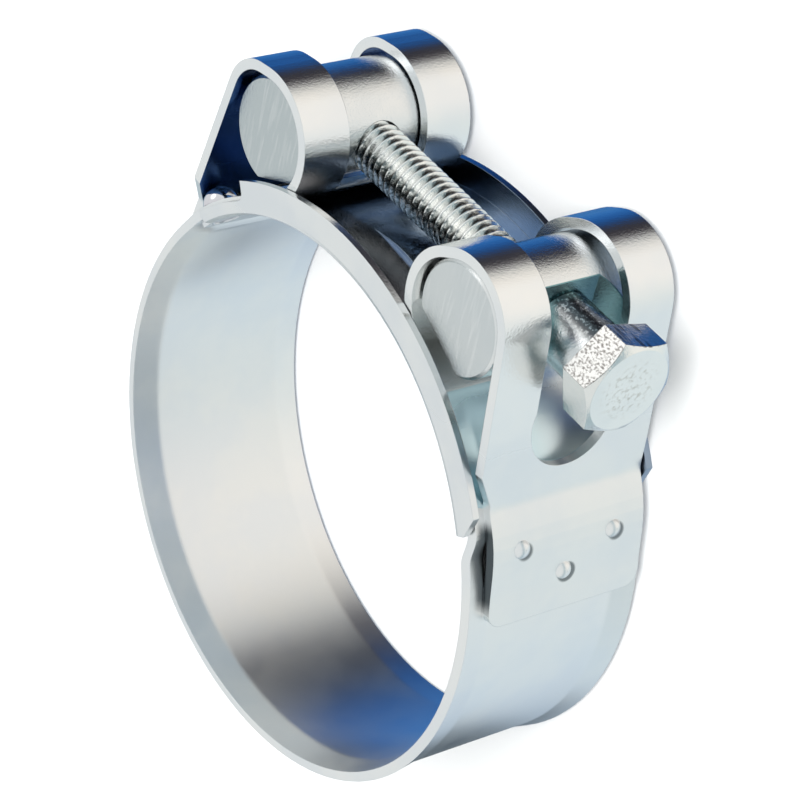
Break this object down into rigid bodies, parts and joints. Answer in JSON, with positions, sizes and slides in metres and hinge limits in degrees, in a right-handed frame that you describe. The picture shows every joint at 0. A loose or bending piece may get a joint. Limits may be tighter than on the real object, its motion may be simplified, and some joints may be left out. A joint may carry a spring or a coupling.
{
  "type": "single bolt hose clamp",
  "caption": "Heavy-duty hose clamp: a folded steel band with flared edges, a curved bridge plate under the gap, and a bolt that draws two trunnions together.",
  "frame": {"origin": "centre of the hose bore, halfway across the band", "axes": "+Z along the hose bore axis, +Y towards the gap between the lugs, +X along the bolt towards its head"},
  "size_m": [0.0645, 0.0757, 0.0234],
  "materials": {
    "band_zinc": "bright blue-white zinc plating on rolled strip",
    "bridge_zinc": "bright blue-white zinc plating",
    "rivet_zinc": "bright zinc plating",
    "trunnion_zinc": "satin zinc plating on turned bar",
    "sleeve_zinc": "zinc plating on turned tube",
    "bolt_zinc": "zinc plating with a fine speckle"
  },
  "bodies": {
    "clamp_band": {"band": "band_zinc", "bridge_plate": "bridge_zinc", "bridge_rivets": "rivet_zinc"},
    "nut_trunnion": {"threaded_trunnion": "trunnion_zinc"},
    "head_trunnion": {"plain_trunnion": "trunnion_zinc"},
    "sleeve": {"spacer_sleeve": "sleeve_zinc"},
    "bolt": {"hex_bolt": "bolt_zinc"}
  },
  "joints": [
    {"name": "nut_trunnion_rock", "type": "hinge", "parent": "clamp_band", "child": "nut_trunnion", "pos_m": [-0.0171, 0.03535, 0], "axis": [0, 0, 1], "range_deg": [-0.7, 0.7]},
    {"name": "head_trunnion_rock", "type": "hinge", "parent": "clamp_band", "child": "head_trunnion", "pos_m": [0.0171, 0.03535, 0], "axis": [0, 0, 1], "range_deg": [-0.75, 0.75]},
    {"name": "bolt_travel", "type": "slide", "parent": "nut_trunnion", "child": "sleeve", "axis": [1, 0, 0], "range_m": [0, 0.009]},
    {"name": "bolt_turn", "type": "hinge", "parent": "sleeve", "child": "bolt", "pos_m": [0.0284, 0.03535, 0], "axis": [1, 0, 0], "range_deg": [0, 3241]}
  ],
  "couplings": [
    {"joint": "head_trunnion_rock", "follows": "nut_trunnion_rock", "ratio": 1},
    {"joint": "bolt_turn", "follows": "bolt_travel", "rad_per_m": 6283.2}
  ]
}
